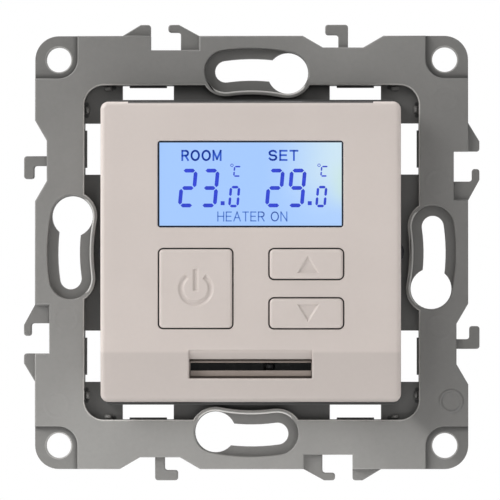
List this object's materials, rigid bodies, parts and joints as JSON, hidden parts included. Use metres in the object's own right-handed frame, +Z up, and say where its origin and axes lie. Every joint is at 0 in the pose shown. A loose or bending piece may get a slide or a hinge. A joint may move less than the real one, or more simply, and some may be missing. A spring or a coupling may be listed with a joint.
{
  "type": "wall thermostat",
  "caption": "Flush wall thermostat: square ivory cover with a backlit display, three keys and an air slot, held in a grey square mounting frame over a rear box.",
  "frame": {"origin": "centre of the device on the wall plane, which is the mounting frame's back face", "axes": "+Y into the wall and the flush box, -Y towards the room, +Z up, +X to the right as seen from the room"},
  "size_m": [0.0746, 0.0374, 0.0746],
  "materials": {
    "frame_plastic": "satin grey moulding",
    "cover_plastic": "silk ivory",
    "key_plastic": "silk ivory",
    "louvre_plastic": "matt brown",
    "carrier_plastic": "matt dark grey",
    "housing_plastic": "matt grey",
    "display": "backlit liquid crystal display",
    "white_plastic": "matt white",
    "clear_plastic": "diffuse clear acrylic",
    "contact_rubber": "striped silicone",
    "circuit_board": "green solder mask",
    "black_plastic": "matt black",
    "black_screw": "blackened steel",
    "plated_steel": "zinc plated",
    "relay_case": "blue case",
    "capacitor_case": "yellow case",
    "varistor_coating": "blue epoxy",
    "terminal_plastic": "green moulding"
  },
  "bodies": {
    "thermostat_body": {"mounting_frame": "frame_plastic", "front_cover": "cover_plastic", "vent_louvre": "louvre_plastic", "carrier": "carrier_plastic", "back_housing": "housing_plastic", "lcd_glass": "display", "lcd_holder": "white_plastic", "backlight_led_left": "white_plastic", "backlight_led_right": "white_plastic", "light_guide": "clear_plastic", "contact_strip": "contact_rubber", "display_board": "circuit_board", "power_board": "circuit_board", "microcontroller": "black_plastic", "air_sensor": "black_plastic", "power_switch": "black_plastic", "up_switch": "black_plastic", "down_switch": "black_plastic", "board_header": "black_plastic", "transformer": "black_plastic", "fuse": "black_plastic", "electrolytic_capacitor": "black_plastic", "carrier_screw_left": "black_screw", "carrier_screw_right": "black_screw", "display_board_screw_1": "plated_steel", "display_board_screw_2": "plated_steel", "display_board_screw_3": "plated_steel", "display_board_screw_4": "plated_steel", "housing_screw_1": "plated_steel", "housing_screw_2": "plated_steel", "housing_screw_3": "plated_steel", "housing_screw_4": "plated_steel", "relay": "relay_case", "film_capacitor": "capacitor_case", "varistor": "varistor_coating", "terminal_block": "terminal_plastic"},
    "power_key": {"power_button": "key_plastic", "power_plunger": "white_plastic"},
    "up_key": {"up_button": "key_plastic", "up_plunger": "white_plastic"},
    "down_key": {"down_button": "key_plastic", "down_plunger": "white_plastic"},
    "screw_1": {"terminal_screw_1": "plated_steel"},
    "clamp_1": {"terminal_clamp_1": "plated_steel"},
    "screw_2": {"terminal_screw_2": "plated_steel"},
    "clamp_2": {"terminal_clamp_2": "plated_steel"},
    "screw_3": {"terminal_screw_3": "plated_steel"},
    "clamp_3": {"terminal_clamp_3": "plated_steel"},
    "screw_4": {"terminal_screw_4": "plated_steel"},
    "clamp_4": {"terminal_clamp_4": "plated_steel"},
    "screw_5": {"terminal_screw_5": "plated_steel"},
    "clamp_5": {"terminal_clamp_5": "plated_steel"}
  },
  "joints": [
    {"name": "power_key_press", "type": "slide", "parent": "thermostat_body", "child": "power_key", "axis": [0, 1, 0], "range_m": [0, 0.0004], "stiffness_N_per_m": 4000},
    {"name": "up_key_press", "type": "slide", "parent": "thermostat_body", "child": "up_key", "axis": [0, 1, 0], "range_m": [0, 0.0004], "stiffness_N_per_m": 4000},
    {"name": "down_key_press", "type": "slide", "parent": "thermostat_body", "child": "down_key", "axis": [0, 1, 0], "range_m": [0, 0.0004], "stiffness_N_per_m": 4000},
    {"name": "terminal_screw_1_turn", "type": "hinge", "parent": "thermostat_body", "child": "screw_1", "pos_m": [-0.01, 0.0256, -0.0155], "axis": [0, -1, 0], "range_deg": [0, 1800.18]},
    {"name": "terminal_clamp_1_rise", "type": "slide", "parent": "thermostat_body", "child": "clamp_1", "axis": [0, 1, 0], "range_m": [0, 0.0025]},
    {"name": "terminal_screw_2_turn", "type": "hinge", "parent": "thermostat_body", "child": "screw_2", "pos_m": [-0.005, 0.0256, -0.0155], "axis": [0, -1, 0], "range_deg": [0, 1800.18]},
    {"name": "terminal_clamp_2_rise", "type": "slide", "parent": "thermostat_body", "child": "clamp_2", "axis": [0, 1, 0], "range_m": [0, 0.0025]},
    {"name": "terminal_screw_3_turn", "type": "hinge", "parent": "thermostat_body", "child": "screw_3", "pos_m": [0, 0.0256, -0.0155], "axis": [0, -1, 0], "range_deg": [0, 1800.18]},
    {"name": "terminal_clamp_3_rise", "type": "slide", "parent": "thermostat_body", "child": "clamp_3", "axis": [0, 1, 0], "range_m": [0, 0.0025]},
    {"name": "terminal_screw_4_turn", "type": "hinge", "parent": "thermostat_body", "child": "screw_4", "pos_m": [0.005, 0.0256, -0.0155], "axis": [0, -1, 0], "range_deg": [0, 1800.18]},
    {"name": "terminal_clamp_4_rise", "type": "slide", "parent": "thermostat_body", "child": "clamp_4", "axis": [0, 1, 0], "range_m": [0, 0.0025]},
    {"name": "terminal_screw_5_turn", "type": "hinge", "parent": "thermostat_body", "child": "screw_5", "pos_m": [0.01, 0.0256, -0.0155], "axis": [0, -1, 0], "range_deg": [0, 1800.18]},
    {"name": "terminal_clamp_5_rise", "type": "slide", "parent": "thermostat_body", "child": "clamp_5", "axis": [0, 1, 0], "range_m": [0, 0.0025]}
  ],
  "couplings": [
    {"joint": "terminal_screw_1_turn", "follows": "terminal_clamp_1_rise", "rad_per_m": 12566},
    {"joint": "terminal_screw_2_turn", "follows": "terminal_clamp_2_rise", "rad_per_m": 12566},
    {"joint": "terminal_screw_3_turn", "follows": "terminal_clamp_3_rise", "rad_per_m": 12566},
    {"joint": "terminal_screw_4_turn", "follows": "terminal_clamp_4_rise", "rad_per_m": 12566},
    {"joint": "terminal_screw_5_turn", "follows": "terminal_clamp_5_rise", "rad_per_m": 12566}
  ]
}
